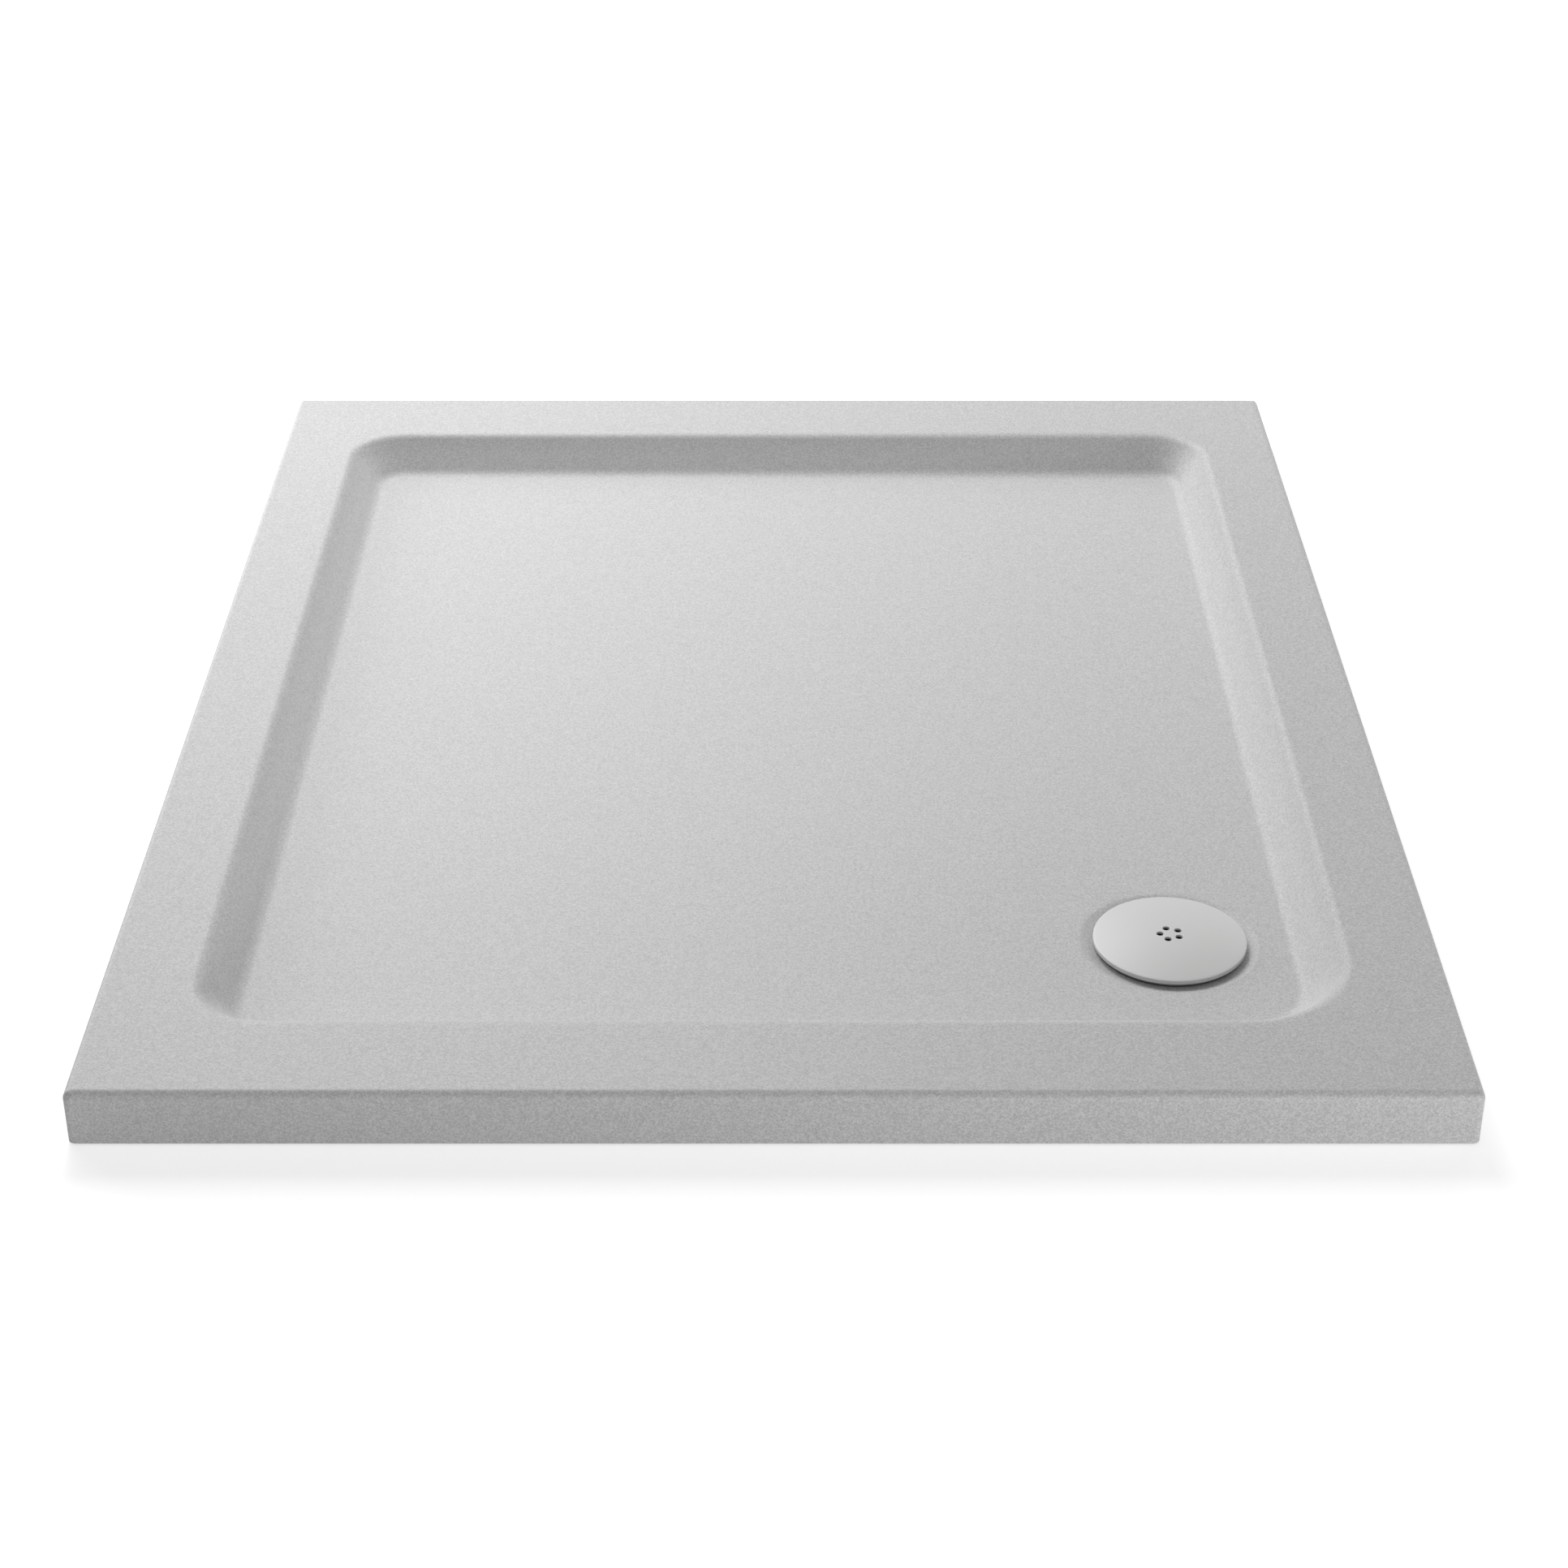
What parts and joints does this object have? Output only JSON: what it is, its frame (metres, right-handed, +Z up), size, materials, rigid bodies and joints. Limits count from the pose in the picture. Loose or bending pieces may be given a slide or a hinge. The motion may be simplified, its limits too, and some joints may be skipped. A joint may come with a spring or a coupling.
{
  "type": "shower tray",
  "caption": "Slim rectangular shower tray with a shallow rounded basin, a corner waste under a domed cover, and a low trap with a side outlet.",
  "frame": {"origin": "middle of the flat underside, which is bedded on the floor", "axes": "+X to the right as seen from the front, +Y to the back, +Z up"},
  "size_m": [0.9, 1.1, 0.124],
  "materials": {
    "tray_grey": "matt light grey formed sheet with a fine even texture",
    "core_resin": "rough cast stone resin",
    "cover_satin": "smooth satin light grey",
    "white_plastic": "moulded white plastic",
    "dark_plastic": "moulded dark grey plastic",
    "seal_rubber": "black rubber",
    "screw_steel": "plain stainless steel",
    "washer_plastic": "natural plastic"
  },
  "bodies": {
    "tray": {"tray_sheet": "tray_grey", "resin_core": "core_resin", "top_flange": "dark_plastic", "flange_seal": "seal_rubber", "flange_screws": "screw_steel", "lower_seal": "seal_rubber", "trap_body": "white_plastic", "outlet_socket": "white_plastic", "outlet_nut": "white_plastic", "outlet_washer": "washer_plastic", "outlet_seal": "seal_rubber"},
    "cover": {"waste_cover": "cover_satin"},
    "insert": {"dip_tube": "dark_plastic", "dip_tube_seal": "seal_rubber", "hair_strainer": "dark_plastic"}
  },
  "joints": [
    {"name": "cover_lift", "type": "slide", "parent": "tray", "child": "cover", "axis": [0, 0, 1], "range_m": [0, 0.17]},
    {"name": "insert_lift", "type": "slide", "parent": "tray", "child": "insert", "axis": [0, 0, 1], "range_m": [0, 0.085]}
  ],
  "couplings": [
    {"joint": "insert_lift", "follows": "cover_lift", "ratio": 0.5}
  ]
}
